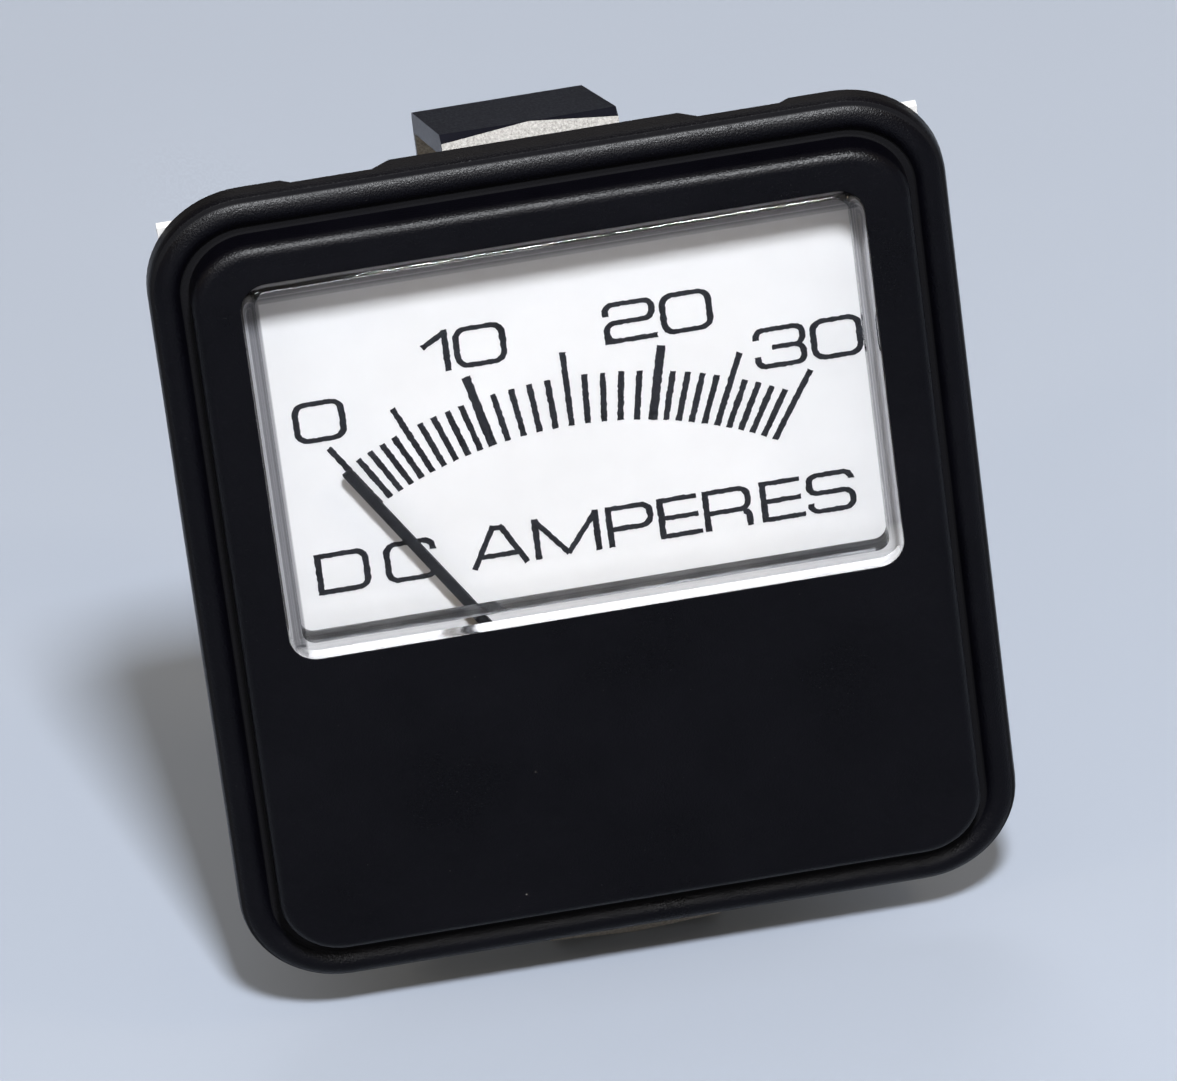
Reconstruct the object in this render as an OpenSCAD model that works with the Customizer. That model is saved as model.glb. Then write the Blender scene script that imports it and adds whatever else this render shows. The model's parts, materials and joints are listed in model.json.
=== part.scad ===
// Analog panel meter, 0 to 30 amperes direct current: moulded bezel, clear window, printed dial plate,
// moving-iron movement, rear case with screw terminals, and a strap bracket that clamps it in a panel.
//
// Row frame: X to the right, Y to the rear, Z up. The origin is on the seating face behind the case
// flange, behind the centre of the raised face. Pieces are drawn in the face frame (x right, y up, z to the
// viewer, z = 0 on the seating face), and stand() turns them into the row frame.

/* [Bezel] */
// Width of the bezel
bezel_w = 57.15; // [56:0.05:62]
// Height of the bezel
bezel_h = 66.3; // [64:0.1:72]
// Height of the outline's centre above the centre of the raised face
bezel_y = -0.45; // [-0.6:0.05:0]
// Radius of the bezel's outer corners
bezel_r = 7.4; // [6.5:0.1:8.5]
// Depth from the bezel's rear rim to its raised face
bezel_depth = 4.4; // [4.2:0.1:5]
// Wall behind the raised face
face_wall = 1.6; // [1.2:0.1:1.6]
// Distance from the outline's top and sides to the wall of the raised face
face_inset = 2.85; // [2.7:0.05:3]
// Radius along the edge of the raised face
face_edge_r = 0.8; // [0.5:0.1:0.8]
// Depth of the rim's crest below the raised face
crest_drop = 1.9; // [1.8:0.1:2.2]
// Radius of the rounded outer rim
rim_r = 1.3; // [1:0.1:1.3]
// Depth of the groove below the rim's crest
groove_drop = 0.55; // [0.3:0.05:0.6]
// Distance from the outline to the hollow behind the raised face
hollow_inset = 4.2; // [4:0.1:4.3]
// Half length of the pad at the middle of each side of the rear rim
pad_half = 10.3; // [9:0.1:11]
// Length of the reliefs beside the pads on the top and bottom sides
relief_len_x = 8.5; // [7:0.5:9]
// Length of the reliefs beside the pads on the left and right sides
relief_len_y = 10; // [7:0.5:12]
// Depth of the reliefs in the rear rim
relief_depth = 0.9; // [0.6:0.05:0.95]
// Depth that the rear rim's corners are set back from its pads
corner_step = 0.4; // [0.1:0.05:0.5]

/* [Window] */
// Distance from the bezel's left and right sides to the clear window
window_side = 6.275; // [6.1:0.025:8]
// Height of the clear window
window_h = 31.4; // [26:0.1:32]
// Radius of the window's corners
window_r = 2; // [1.8:0.1:2.5]
// Distance from the top of the raised face to the window
window_top = 3.05; // [3:0.05:5]
// Distance that the window stands out of the raised face
window_proud = 0.5; // [0.3:0.1:0.8]
// Thickness of the window's front sheet
window_t = 1.3; // [1:0.1:1.5]
// Thickness of the window's side walls
window_wall = 1; // [0.9:0.05:1.4]
// Radius along the front edge of the window
window_edge_r = 0.5; // [0.3:0.1:0.8]
// Distance that the window's rear lip reaches out behind the face
lip_out = 0.8; // [0.5:0.1:0.9]
// Thickness of the window's rear lip
lip_t = 0.9; // [0.6:0.1:0.9]

/* [Dial] */
// Distance from the bezel's left and right sides to the dial plate
dial_side = 1.375; // [1.3:0.025:1.6]
// Distance from the bezel's top to the dial plate
dial_top = 2.55; // [2.4:0.05:2.9]
// Thickness of the dial plate
dial_t = 0.8; // [0.6:0.1:1]
// Thickness of the printed marks
ink_t = 0.04; // [0.02:0.01:0.06]
// Outer radius of the long marks
mark_r_long = 34.2; // [33:0.1:34.4]
// Length of the long marks
mark_len = 6.1; // [5.6:0.1:6.6]
// How much the short marks stop short of the long ones
mark_short = 2.1; // [1.6:0.1:2.6]
// Width of the short marks
mark_w = 0.4; // [0.3:0.02:0.44]
// Width of the marks at the inner numbers
mark_w_bold = 0.6; // [0.5:0.02:0.64]
// Angle from an end mark to the next long mark, in degrees
angle_end = 9.1; // [8.8:0.1:9.2]
// Angle from the second long mark to the inner number, in degrees
angle_mid = 9.6; // [9.2:0.1:9.8]
// Angle from the inner number to the middle of the scale, in degrees
angle_centre = 11.9; // [11.5:0.1:12]
// Distance from the tips of the long marks to the feet of the numbers
number_gap = 0.8; // [0.6:0.05:1]
// Width of a digit
digit_w = 3.75; // [3.4:0.05:3.8]
// Height of the digits and letters
digit_h = 3.38; // [3:0.02:3.4]
// Drop from the window's centre to the foot of the unit legend
legend_drop = 13.02; // [12.8:0.02:13.2]
// Width of upright strokes
stroke_v = 0.42; // [0.34:0.02:0.46]
// Width of level and sloping strokes
stroke_h = 0.34; // [0.28:0.02:0.4]

/* [Movement] */
// Drop from the window's centre to the pointer's axis
pivot_drop = 30.4; // [29.9:0.1:31]
// Length of the pointer from its axis
pointer_len = 32.3; // [30:0.1:33]
// Thickness of the pointer
pointer_t = 0.35; // [0.2:0.05:0.4]
// Distance from the dial plate to the pointer
pointer_gap = 0.8; // [0.6:0.05:0.9]
// Width of the pointer at its tip
pointer_tip_w = 0.72; // [0.5:0.02:0.8]
// Width of the pointer at its hub
pointer_root_w = 0.84; // [0.6:0.02:0.9]
// Travel beyond the zero mark to the lower stop, in degrees
under_angle = 2; // [1:0.5:3]
// Travel beyond the last mark to the upper stop, in degrees
over_angle = 3; // [1:0.5:4]
// Radius of the pointer's staff
staff_r = 0.5; // [0.4:0.05:0.55]
// Radius of the staff's pivots
pivot_r = 0.2; // [0.15:0.01:0.25]
// Running clearance of the pivots in their bearings
pivot_play = 0.03; // [0.02:0.01:0.05]
// Reach of the iron vane from the staff's axis
vane_reach = 4; // [3:0.1:4.2]
// Distance of each movement post from the staff's axis
post_x = 6.2; // [5.8:0.1:6.4]
// Radius of the movement posts
post_r = 1; // [0.8:0.05:1.1]
// Thickness of the movement's base plate
base_t = 1.2; // [1:0.1:1.4]
// Thickness of the front bridge
bridge_t = 0.8; // [0.6:0.05:0.9]
// Width of the copper conductor
conductor_w = 4.2; // [3.4:0.1:4.4]
// Thickness of the copper conductor
conductor_t = 1.4; // [1:0.1:1.5]

/* [Case] */
// Distance from the bezel's left and right sides to the case flange
flange_side = 2.075; // [1.6:0.025:2.3]
// Distance from the bezel's top to the case flange
flange_top = 4.2; // [4.1:0.1:5]
// Thickness of the case flange
flange_t = 1.6; // [1.4:0.1:2]
// Outer radius of the case barrel
barrel_r = 25.4; // [25:0.1:25.6]
// Depth of the case barrel behind the seating face
barrel_depth = 12; // [11.5:0.1:12.4]
// Wall of the case barrel
case_wall = 1.8; // [1.4:0.1:2]
// Thickness of the case's rear wall
case_back = 2; // [1.9:0.1:2.4]
// Radius on the rear edge of the barrel
case_edge_r = 1.5; // [0.8:0.1:1.6]
// Height of the barrel's centre above the centre of the raised face
case_y = -2.8; // [-3:0.1:-2.4]
// Radius of the bosses round the studs
boss_r = 5; // [4.6:0.1:5.4]
// Height of the bosses round the studs
boss_h = 1.5; // [1:0.1:2]

/* [Terminals and bracket] */
// Radius of the studs
stud_r = 2.4; // [2.3:0.05:2.45]
// Radius of the studs' lead-in ends, past the nuts
stud_end_r = 2.2; // [2.1:0.05:2.25]
// Distance between the terminal studs
terminal_spacing = 27; // [26.6:0.1:28]
// Height of the terminal studs above the centre of the raised face
terminal_y = -12.5; // [-12.7:0.1:-12.3]
// Length of the terminal studs behind the case
terminal_len = 18; // [17:0.5:22]
// Thickness of the hexagon nuts
nut_t = 3.2; // [2.8:0.1:3.4]
// Width across the flats of the hexagon nuts
nut_flats = 9.5; // [9:0.1:9.6]
// Thickness of the flat washers
washer_t = 0.8; // [0.6:0.1:1]
// Radius of the flat washers
washer_r = 5; // [4.6:0.1:5.2]
// Thickness of the split lock washers
lock_t = 1; // [0.8:0.1:1.2]
// Width of the bracket strap
strap_w = 12.7; // [10:0.1:14]
// Thickness of the bracket strap
strap_t = 1.6; // [1.2:0.1:1.7]
// Half height of the bracket's outer side, carried forward to the seating face
strap_half_front = 35.3; // [34.6:0.1:36]
// Half height of the bracket's outer side at its rear face
strap_half_rear = 14.3; // [13.8:0.1:15]
// Depth of the bracket's rear face behind the seating face
strap_depth = 40; // [37:0.1:42]
// Inner radius of the bracket's bends
bend_r = 1; // [0.6:0.1:2]
// Drop of the dressed corners across the bracket's ends
dress_drop = 0.65; // [0.3:0.05:0.7]
// Length of the dressed corners along the bracket's legs
dress_len = 1.2; // [0.8:0.1:1.5]

/* [Fasteners] */
// Distance of the case screws from the bezel's left and right sides
case_screw_inset = 4.1; // [4:0.05:4.15]
// Distance of the upper case screws from the bezel's top
case_screw_drop = 8; // [7.6:0.1:9]
// Radius of the case screws
case_screw_r = 0.75; // [0.65:0.05:0.8]
// Radius of the dial and base screws
small_screw_r = 0.6; // [0.5:0.05:0.65]
// Height of the dial and base screw heads
small_head_h = 0.7; // [0.5:0.05:0.75]

/* [Hidden] */
$fn = 64;

// Clearances
slip = 0.05;           // a piece that drops into its opening
hole_play = 0.1;       // a screw or stud in its hole
thread_play = 0.03;    // a screw or nut on its thread
cut = 1;               // how far a cutting shape runs past the face it opens

// Levels along z, from the seating face to the front
dial_back = flange_t;
dial_front = dial_back + dial_t;
rim_back = dial_front;
face_front = rim_back + bezel_depth;
face_inside = face_front - face_wall;
window_front = face_front + window_proud;
lip_back = face_inside - lip_t;
crest_h = bezel_depth - crest_drop;
groove_h = crest_h - groove_drop;
groove_fillet = 0.15;

// Raised face and the hollow behind it, both centred on the origin
face_w = bezel_w - 2 * face_inset;
face_h = bezel_h + 2 * bezel_y - 2 * face_inset;
face_r = bezel_r - face_inset;
hollow_w = bezel_w - 2 * hollow_inset;
hollow_h = face_h - 2 * (hollow_inset - face_inset);
hollow_r = bezel_r - hollow_inset;
relief_reach = 1.2;    // how far the reliefs reach in from the outline

// What lies in and behind the raised face, placed from its edges
bezel_top = bezel_h / 2 + bezel_y;
window_w = bezel_w - 2 * window_side;
window_y = face_h / 2 - window_top - window_h / 2;
dial_w = bezel_w - 2 * dial_side;
dial_h = 2 * (bezel_top - dial_top);
flange_w = bezel_w - 2 * flange_side;
flange_h = 2 * (bezel_top - flange_top);
pivot_y = window_y - pivot_drop;
legend_foot = window_y - legend_drop;
mark_r_in = mark_r_long - mark_len;
mark_r_short = mark_r_long - mark_short;

// Levels behind the seating face
case_rear = -barrel_depth;
case_inside = case_rear + case_back;
boss_rear = case_rear - boss_h;
barrel_in_r = barrel_r - case_wall;
flange_corner_r = 3;

// Movement, from the case's rear wall to the front bridge
base_front = case_inside + base_t;
pointer_back = dial_front + pointer_gap;
pointer_front = pointer_back + pointer_t;
bridge_gap = 0.2;      // front bridge to the inside of the bezel
bridge_front = face_inside - bridge_gap;
bridge_back = bridge_front - bridge_t;
bearing_r = 0.9;
bearing_stand = 0.5;   // how far the front bearing reaches behind the bridge
bearing_front = bridge_front + bridge_gap / 2;
front_hole_back = bridge_back - bearing_stand;
pivot_len = 0.5;
pivot_end_play = 0.05;
staff_front = front_hole_back - pivot_end_play;
rear_bearing_front = base_front + 0.7;
staff_rear = rear_bearing_front + pivot_end_play;
hub_r = 1.3;
hub_back = pointer_back - 0.3;
tail_len = 7;
weight_r = 1.2;
weight_at = 5.8;
weight_t = 0.5;
vane_t = 0.8;
vane_w = 3;
vane_back = -3.8;
vane_hub_r = 1.1;
magnet_size = [10, 2.4, 2.3];
magnet_y = pivot_y - 2.7;
base_size = [16, 9.5];
base_play = 0.5;       // base plate's corners to the inside of the barrel
base_y = pivot_y + 0.55;
base_screw_x = 5.5;
base_screw_y = pivot_y + 3.7;
bridge_len = 2 * (post_x + post_r + 0.4);
bridge_w = 3.2;
tenon_r = post_r * 0.6;
slot_size = [2 * (post_x + post_r + 0.6), 2 * (hub_r + 0.7)];
dial_screw_at = [18, -25.5];
small_head_r = 2 * small_screw_r + 0.2;

// Scale and stops: angles in degrees, clockwise from straight up
half_scale = angle_end + angle_mid + angle_centre;
long_marks = [-half_scale, -angle_mid - angle_centre, -angle_centre, 0,
              angle_centre, angle_mid + angle_centre, half_scale];
full_scale = 30;
divisions = 5;         // short divisions between two long marks
stop_at = 11;
stop_r = 0.5;
stop_play = 0.05;
stop_half_w = pointer_root_w / 2;
stop_swing = asin((stop_r + stop_half_w + stop_play) / stop_at);
stop_top = pointer_front + 0.5;

// Conductor and studs
terminal_x = terminal_spacing / 2;
head_r = stud_r * 1.5;
head_t = 1.4;
conductor_back = case_inside;
riser_x = post_x + 2.1;
conductor_front = -2;
nut_r = nut_flats / 2 / cos(30);

// Stack on the terminal studs, behind the bosses
case_washer_z = boss_rear;
case_nut_z = case_washer_z - washer_t;
wire_washer_z = case_nut_z - nut_t;
lock_washer_z = wire_washer_z - washer_t;
wire_nut_z = lock_washer_z - lock_t;
stud_past = 0.5;       // full width of a stud past its last nut
stud_chamfer = 0.4;    // chamfer on a stud's free end
terminal_step = wire_nut_z - nut_t - stud_past;
terminal_end = case_rear - terminal_len;

// Bracket and its stud
strap_angle = atan((strap_half_front - strap_half_rear) / strap_depth);
bend_out = bend_r + strap_t;
bend_y = strap_half_rear - bend_out * tan((90 - strap_angle) / 2);
strap_set_back = 0.4;  // front ends behind the seating face, with no panel between
leg_len = (strap_depth - strap_set_back - strap_t * sin(strap_angle)
           - bend_out * (1 - sin(strap_angle))) / cos(strap_angle);
bracket_lock_z = -strap_depth;
bracket_nut_z = bracket_lock_z - lock_t;
bracket_step = bracket_nut_z - nut_t - stud_past;
bracket_stud_end = bracket_step - 2.1;

// Places of the four case screws: top right, top left, bottom left, bottom right
case_screw_x = bezel_w / 2 - case_screw_inset;
case_screw_y = bezel_top - case_screw_drop;
case_screw_at = [[case_screw_x, case_screw_y], [-case_screw_x, case_screw_y],
                 [-case_screw_x, -case_screw_y], [case_screw_x, -case_screw_y]];
case_screw_head_r = case_screw_r * 1.85;
case_screw_head_h = 0.8;
case_screw_grip = 3;   // how deep the case screws run into the bezel
boss_wall = 0.55;      // wall round the case screws' holes

// ---- shared shapes ----

// Turns the face frame into the row frame
module stand() {
    rotate([90, 0, 0]) children();
}

module round_rect(w, h, r) {
    square([w - 2 * r, h], center = true);
    square([w, h - 2 * r], center = true);
    for (x = [-1, 1], y = [-1, 1])
        translate([x * (w / 2 - r), y * (h / 2 - r)]) circle(r);
}

// Sweeps a profile round a rounded rectangle. The profile's x runs outward from the corner centres.
module around(w, h, r) {
    for (q = [[1, 1, 0], [-1, 1, 90], [-1, -1, 180], [1, -1, 270]])
        translate([q[0] * (w / 2 - r), q[1] * (h / 2 - r), 0])
            rotate(q[2]) rotate_extrude(angle = 90) children();
    for (s = [0, 180]) {
        rotate(s) translate([-(w / 2 - r), h / 2 - r, 0])
            rotate([90, 0, 90]) linear_extrude(w - 2 * r) children();
        rotate(s + 90) translate([-(h / 2 - r), w / 2 - r, 0])
            rotate([90, 0, 90]) linear_extrude(h - 2 * r) children();
    }
}

// A cylinder from z0 to z1, whichever is the higher
module post(r, z0, z1) {
    translate([0, 0, min(z0, z1)]) cylinder(r = r, h = abs(z1 - z0));
}

module slab(z0, z1) {
    translate([0, 0, z0]) linear_extrude(z1 - z0) children();
}

// ---- front ----

// Half section of the outer rim, from the outline's corner centre outward
module rim_profile() {
    square([bezel_r, crest_h - rim_r]);
    square([bezel_r - rim_r, groove_h]);
    intersection() {
        translate([bezel_r - rim_r, crest_h - rim_r]) circle(rim_r);
        square([bezel_r, crest_h]);
    }
}

// Half section of the raised face and the fillet at its foot, from its corner centre outward
module face_profile() {
    square([face_r, bezel_depth - face_edge_r]);
    square([face_r - face_edge_r, bezel_depth]);
    translate([face_r - face_edge_r, bezel_depth - face_edge_r]) circle(face_edge_r);
    difference() {
        square([face_r + groove_fillet, groove_h + groove_fillet]);
        translate([face_r + groove_fillet, groove_h + groove_fillet]) circle(groove_fillet);
    }
}

// A shallow relief with ramped ends, cut from the rear rim on the +y side
module relief(len, side_y) {
    ramp = relief_depth * 1.5;
    translate([pad_half, side_y + slip, 0]) rotate([90, 0, 0]) linear_extrude(relief_reach)
        polygon([[-slip, -slip], [len + slip, -slip], [len - ramp, relief_depth], [ramp, relief_depth]]);
}

// Sets the rear rim back all round but for a pad at the middle of each side, and deeper beside the pads
module reliefs() {
    difference() {
        around(bezel_w, bezel_h, bezel_r) translate([bezel_r - relief_reach, -slip])
            square([relief_reach + slip, corner_step + slip]);
        cube([2 * pad_half + relief_len_x, 2 * bezel_h, bezel_depth], center = true);
        cube([2 * bezel_w, 2 * pad_half + relief_len_y, bezel_depth], center = true);
    }
    for (m = [0, 1], s = [0, 180])
        rotate(s) mirror([m, 0, 0]) {
            relief(relief_len_x, bezel_h / 2);
            rotate(90) mirror([1, 0, 0]) relief(relief_len_y, bezel_w / 2);
        }
}

module bezel() {
    color([0.035, 0.035, 0.038]) stand() translate([0, 0, rim_back]) difference() {
        union() {
            translate([0, bezel_y, 0]) {
                around(bezel_w, bezel_h, bezel_r) rim_profile();
                slab(0, groove_h) square([bezel_w - 2 * bezel_r, bezel_h - 2 * bezel_r], center = true);
            }
            around(face_w, face_h, face_r) face_profile();
            slab(0, bezel_depth) square([face_w - 2 * face_r, face_h - 2 * face_r], center = true);
        }
        difference() {
            slab(-cut, bezel_depth - face_wall) round_rect(hollow_w, hollow_h, hollow_r);
            for (p = case_screw_at)
                translate(p) post(case_screw_r + boss_wall, -cut, bezel_depth);
        }
        translate([0, window_y, 0]) slab(0, bezel_depth + cut)
            round_rect(window_w + 2 * slip, window_h + 2 * slip, window_r + slip);
        for (p = case_screw_at)
            translate(p) post(case_screw_r + thread_play, -cut, case_screw_grip + slip);
        translate([0, bezel_y, 0]) reliefs();
    }
}

// Edge of the window, from the corner centre outward, above its rear face
module window_profile() {
    h = window_front - lip_back;
    square([window_r - window_edge_r, h]);
    square([window_r, h - window_edge_r]);
    translate([window_r - window_edge_r, h - window_edge_r]) circle(window_edge_r);
}

module window_lens() {
    in_w = window_w - 2 * window_wall;
    in_h = window_h - 2 * window_wall;
    color([0.85, 0.9, 0.95, 0.35]) stand() translate([0, window_y, lip_back]) difference() {
        union() {
            around(window_w, window_h, window_r) window_profile();
            slab(0, window_front - lip_back)
                square([window_w - 2 * window_r, window_h - 2 * window_r], center = true);
            slab(0, lip_t) round_rect(window_w + 2 * lip_out, window_h + 2 * lip_out, window_r + lip_out);
        }
        slab(-cut, window_front - lip_back - window_t) round_rect(in_w, in_h, window_r / 2);
    }
}

// ---- dial ----

// Angle of the mark for each ampere: even steps between the long marks
function mark_angle(n) = let(k = min(floor(n / divisions), len(long_marks) - 2))
    long_marks[k] + (long_marks[k + 1] - long_marks[k]) * (n - k * divisions) / divisions;

function mark_width(n) = (n == 10 || n == 20) ? mark_w_bold : mark_w;
function mark_reach(n) = n % divisions == 0 ? mark_r_long : mark_r_short;

module dial_plate() {
    color([0.93, 0.93, 0.91]) stand() difference() {
        slab(dial_back, dial_front) square([dial_w, dial_h], center = true);
        translate([0, pivot_y, 0]) slab(dial_back - cut, dial_front + cut)
            round_rect(slot_size[0], slot_size[1], 1.5);
        for (p = case_screw_at)
            translate(p) post(case_screw_r + hole_play, dial_back - cut, dial_front + cut);
        for (s = [-1, 1])
            translate([s * dial_screw_at[0], dial_screw_at[1]])
                post(small_screw_r + hole_play, dial_back - cut, dial_front + cut);
        for (a = stop_angles)
            at_stop(a) post(stop_r, dial_back - cut, dial_front + cut);
    }
}

module scale_marks() {
    color([0.03, 0.03, 0.04]) stand() translate([0, pivot_y, 0]) slab(dial_front, dial_front + ink_t)
        for (n = [0 : full_scale])
            rotate(-mark_angle(n)) translate([-mark_width(n) / 2, mark_r_in])
                square([mark_width(n), mark_reach(n) - mark_r_in]);
}

// Keeps the part of a glyph between two corners, as shares of its width and height
module keep(x0, y0, x1, y1, w = digit_w, h = digit_h) {
    intersection() {
        children();
        translate([x0 * w, y0 * h]) square([(x1 - x0) * w, (y1 - y0) * h]);
    }
}

// A ring of strokes round a rounded box whose corner is at the origin
module ring(w, h, r = 1) {
    translate([w / 2, h / 2]) difference() {
        round_rect(w, h, r);
        round_rect(w - 2 * stroke_v, h - 2 * stroke_h, r - stroke_h);
    }
}

// The same with square corners on the left
module d_ring(w, h, r = 1) {
    difference() {
        union() {
            translate([w / 2, h / 2]) round_rect(w, h, r);
            square([w / 2, h]);
        }
        translate([w / 2, h / 2]) round_rect(w - 2 * stroke_v, h - 2 * stroke_h, r - stroke_h);
        translate([stroke_v, stroke_h]) square([w / 2, h - 2 * stroke_h]);
    }
}

// A straight stroke between two points
module bar(p, q, t = stroke_h) {
    d = q - p;
    translate(p) rotate(atan2(d[1], d[0])) translate([0, -t / 2]) square([norm(d), t]);
}

half_h = (digit_h + stroke_h) / 2;   // height of each bowl of the two-bowled glyphs
mid_y = half_h - stroke_h;           // foot of the middle stroke

module upper_bowl(w) { translate([0, mid_y]) ring(w, half_h, half_h * 0.42); }
module lower_bowl(w) { ring(w, half_h, half_h * 0.42); }

module digit_0() { ring(digit_w, digit_h, 0.95); }

module digit_1() {
    w = digit_w / 2;
    translate([w - stroke_v, 0]) square([stroke_v, digit_h]);
    bar([0, digit_h - 1.2], [w - stroke_v / 2, digit_h - stroke_h / 2], stroke_h + 0.04);
}

module digit_2() {
    keep(0.5, 0, 1, 1) upper_bowl(digit_w);
    keep(0, 0.68, 0.5, 1) upper_bowl(digit_w);
    keep(0, 0, 0.5, 1) lower_bowl(digit_w);
    square([digit_w, stroke_h]);
    square([stroke_v, half_h / 2]);
}

module digit_3() {
    keep(0.5, 0, 1, 1) upper_bowl(digit_w);
    keep(0, 0.72, 0.5, 1) upper_bowl(digit_w);
    keep(0.5, 0, 1, 1) lower_bowl(digit_w);
    keep(0, 0, 0.5, 0.3) lower_bowl(digit_w);
    translate([digit_w * 0.35, mid_y]) square([digit_w * 0.2, stroke_h]);
}

module letter_A(w) {
    apex = 0.5;
    bar([stroke_h / 2, 0], [w / 2 - apex / 2, digit_h], stroke_h + 0.04);
    bar([w / 2 + apex / 2, digit_h], [w - stroke_h / 2, 0], stroke_h + 0.04);
    translate([w / 2 - apex / 2, digit_h - stroke_h]) square([apex, stroke_h]);
    translate([w * 0.2, digit_h * 0.22]) square([w * 0.62, stroke_h]);
}

module letter_C(w) {
    difference() {
        ring(w, digit_h, 0.9);
        translate([w / 2, digit_h * 0.32]) square([w, digit_h * 0.38]);
    }
}

module letter_D(w) { d_ring(w, digit_h, 0.9); }

module letter_E(w) {
    square([stroke_v, digit_h]);
    for (q = [[0, 1], [mid_y, 0.94], [digit_h - stroke_h, 0.94]])
        translate([0, q[0]]) square([w * q[1], stroke_h]);
}

module letter_M(w) {
    for (x = [0, w - stroke_v])
        translate([x, 0]) square([stroke_v, digit_h]);
    bar([stroke_v / 2, digit_h - stroke_h / 2], [w / 2, stroke_h / 2], stroke_h + 0.02);
    bar([w / 2, stroke_h / 2], [w - stroke_v / 2, digit_h - stroke_h / 2], stroke_h + 0.02);
}

module letter_P(w) {
    bowl_h = digit_h * 0.62;
    translate([0, digit_h - bowl_h]) d_ring(w, bowl_h, 0.85);
    square([stroke_v, digit_h / 2]);
}

module letter_R(w) {
    letter_P(w);
    leg_r = 0.6;
    leg_top = digit_h * 0.38 + stroke_h / 2;
    translate([w - stroke_v, 0]) square([stroke_v, leg_top - leg_r]);
    translate([w - leg_r, leg_top - leg_r]) intersection() {
        difference() {
            circle(leg_r);
            circle(leg_r - stroke_v);
        }
        square(leg_r);
    }
}

module letter_S(w) {
    keep(0, 0, 0.5, 1, w) upper_bowl(w);
    keep(0.5, 0.76, 1, 1, w) upper_bowl(w);
    keep(0.5, 0, 1, 1, w) lower_bowl(w);
    keep(0, 0, 0.5, 0.26, w) lower_bowl(w);
}

module on_dial() {
    color([0.03, 0.03, 0.04]) stand() slab(dial_front, dial_front + ink_t) children();
}

// Number of n amperes, centred over its mark and moved right by shift
module number(n, w, shift = 0) {
    a = mark_angle(n);
    r = mark_r_long + number_gap;
    translate([r * sin(a) - w / 2 + shift, pivot_y + r * cos(a)]) children();
}

next_digit = digit_w + 0.35;
two_digits = next_digit + digit_w;
narrow_one = digit_w / 2;          // how much narrower a 1 is than the other digits

module scale_numbers() {
    on_dial() {
        number(0, digit_w) digit_0();
        number(10, two_digits - narrow_one, 0.36) {
            digit_1();
            translate([next_digit - narrow_one, 0]) digit_0();
        }
        number(20, two_digits, -0.14) {
            digit_2();
            translate([next_digit, 0]) digit_0();
        }
        number(30, two_digits, -0.3) {
            digit_3();
            translate([next_digit, 0]) digit_0();
        }
    }
}

// Letters of the unit legend in turn: each one's width and the gap before it, as shares of a digit's width
legend_widths = [1.027, 1.013, 1.107, 1.28, 0.907, 0.813, 0.92, 0.827, 0.933];
legend_gaps = [0, 0.293, 0.64, 0.128, 0.139, 0.093, 0.067, 0.187, 0.067];

function total(v, n = 0) = n == len(v) ? 0 : v[n] + total(v, n + 1);
function legend_w(n) = legend_widths[n] * digit_w;
function legend_x(n) = n == 0 ? -digit_w * (total(legend_widths) + total(legend_gaps)) / 2
    : legend_x(n - 1) + legend_w(n - 1) + legend_gaps[n] * digit_w;

module at_letter(n) {
    translate([legend_x(n), legend_foot]) children();
}

module unit_legend() {
    on_dial() {
        at_letter(0) letter_D(legend_w(0));
        at_letter(1) letter_C(legend_w(1));
        at_letter(2) letter_A(legend_w(2));
        at_letter(3) letter_M(legend_w(3));
        at_letter(4) letter_P(legend_w(4));
        at_letter(5) letter_E(legend_w(5));
        at_letter(6) letter_R(legend_w(6));
        at_letter(7) letter_E(legend_w(7));
        at_letter(8) letter_S(legend_w(8));
    }
}

module dial_screw(side) {
    color([0.75, 0.75, 0.72]) stand() translate([side * dial_screw_at[0], dial_screw_at[1]])
        slotted_screw(dial_front, flange_t + dial_t - 0.2);
}

// A small cheese-head screw whose head rests at z0 and whose shank runs len behind it
module slotted_screw(z0, len) {
    difference() {
        union() {
            post(small_head_r, z0, z0 + small_head_h);
            post(small_screw_r, z0 - len, z0);
        }
        slab(z0 + small_head_h / 2, z0 + small_head_h + cut)
            square([2 * small_head_r + cut, 0.3], center = true);
    }
}

module dial_screw_left() { dial_screw(-1); }
module dial_screw_right() { dial_screw(1); }

// Stop pins stand just past the pointer's end positions
stop_angles = [-half_scale - under_angle - stop_swing, half_scale + over_angle + stop_swing];

module at_stop(a) {
    translate([0, pivot_y, 0]) rotate(-a) translate([0, stop_at, 0]) children();
}

module stop_pin(a) {
    color([0.72, 0.72, 0.7]) stand() at_stop(a) post(stop_r, dial_back, stop_top);
}

module stop_pin_zero() { stop_pin(stop_angles[0]); }
module stop_pin_full() { stop_pin(stop_angles[1]); }

module case_screw(n) {
    slot_depth = 0.4;
    color([0.35, 0.35, 0.36]) stand() translate(case_screw_at[n]) difference() {
        union() {
            cylinder(r1 = case_screw_head_r, r2 = case_screw_r, h = case_screw_head_h);
            post(case_screw_r, case_screw_head_h, rim_back + case_screw_grip);
        }
        slab(-cut, slot_depth) square([2 * case_screw_head_r + cut, 0.35], center = true);
    }
}

module case_screw_1() { case_screw(0); }
module case_screw_2() { case_screw(1); }
module case_screw_3() { case_screw(2); }
module case_screw_4() { case_screw(3); }

// ---- movement ----

module at_pivot() {
    stand() translate([0, pivot_y, 0]) children();
}

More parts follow.
